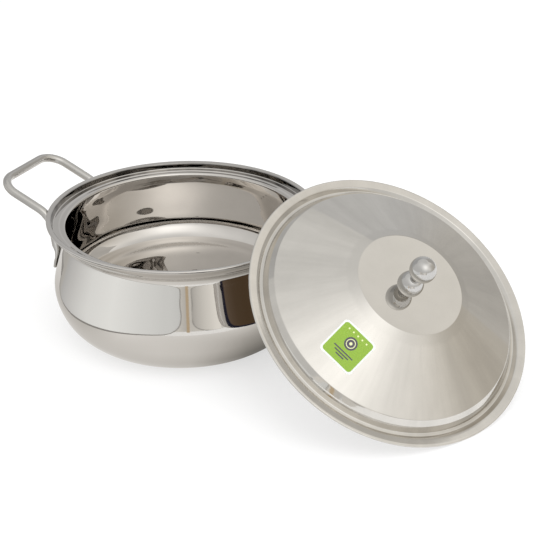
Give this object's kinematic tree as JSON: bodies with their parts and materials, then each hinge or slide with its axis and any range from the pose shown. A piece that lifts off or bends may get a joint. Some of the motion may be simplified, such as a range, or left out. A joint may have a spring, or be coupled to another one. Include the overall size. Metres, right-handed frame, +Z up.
{
  "type": "insulated casserole",
  "caption": "Round double-walled steel casserole for flatbread, with wire bail handles and a loose domed lid with a ball knob that leans on the pot.",
  "frame": {"origin": "centre of the pot's flat base, on the surface it stands on", "axes": "+Z up, +X through the handles towards the one that the lid leans on, +Y away from the side that the lid's sticker faces"},
  "size_m": [0.5018, 0.2792, 0.1494],
  "materials": {
    "satin_steel": "satin spun finish",
    "inside_steel": "satin",
    "bright_steel": "polished",
    "weld": "heat tinted",
    "foam": "foam",
    "plug": "matte",
    "fastener": "zinc plated",
    "sticker": "gloss laminated"
  },
  "bodies": {
    "pot": {"outer_shell": "satin_steel", "inner_bowl": "inside_steel", "pot_insulation": "foam", "base_plug": "plug", "handle_left": "bright_steel", "handle_right": "bright_steel", "weld_nuggets": "weld"},
    "lid": {"lid_shell": "satin_steel", "lid_liner": "inside_steel", "lid_insulation": "foam", "knob_base": "bright_steel", "knob_ball": "bright_steel", "knob_screw": "fastener", "knob_washer": "fastener", "lid_label": "sticker"}
  },
  "joints": [
    {"name": "lid_lift", "type": "slide", "parent": "pot", "child": "lid", "axis": [0.4999, -0.304, 0.811], "range_m": [0, 0.12]}
  ]
}
